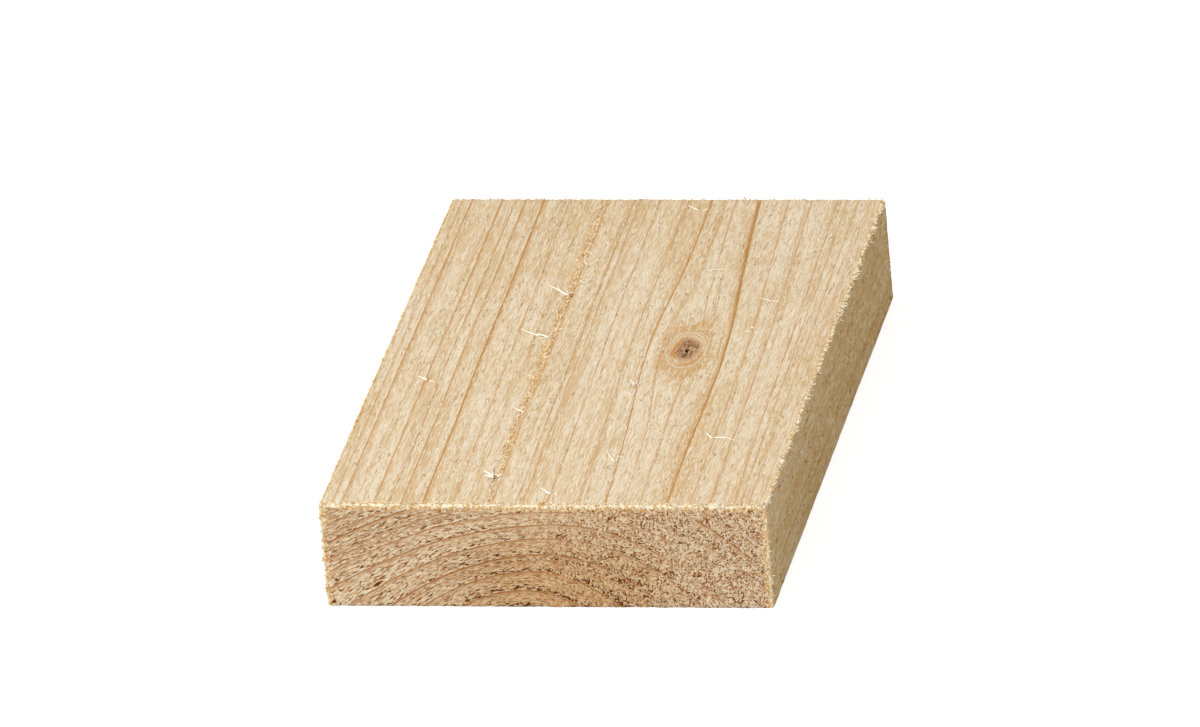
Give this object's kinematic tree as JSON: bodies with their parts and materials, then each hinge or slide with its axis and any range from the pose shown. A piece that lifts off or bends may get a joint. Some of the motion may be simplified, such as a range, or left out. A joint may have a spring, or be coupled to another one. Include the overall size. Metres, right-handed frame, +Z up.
{
  "type": "timber plank",
  "caption": "Short rectangular length of rough-sawn softwood plank, cut square at both ends, with a small tight knot in its upper face.",
  "frame": {"origin": "centre of the underside, on the surface that the plank lies on", "axes": "+Y along the grain, from the end that faces the camera in the picture to the far end; +X across the width; +Z up, through the thickness"},
  "size_m": [0.1, 0.16, 0.025],
  "materials": {
    "sawn_softwood": "rough sawn, bare, pale cream to straw with orange-brown growth rings"
  },
  "bodies": {
    "root": {"plank": "sawn_softwood"}
  },
  "joints": []
}
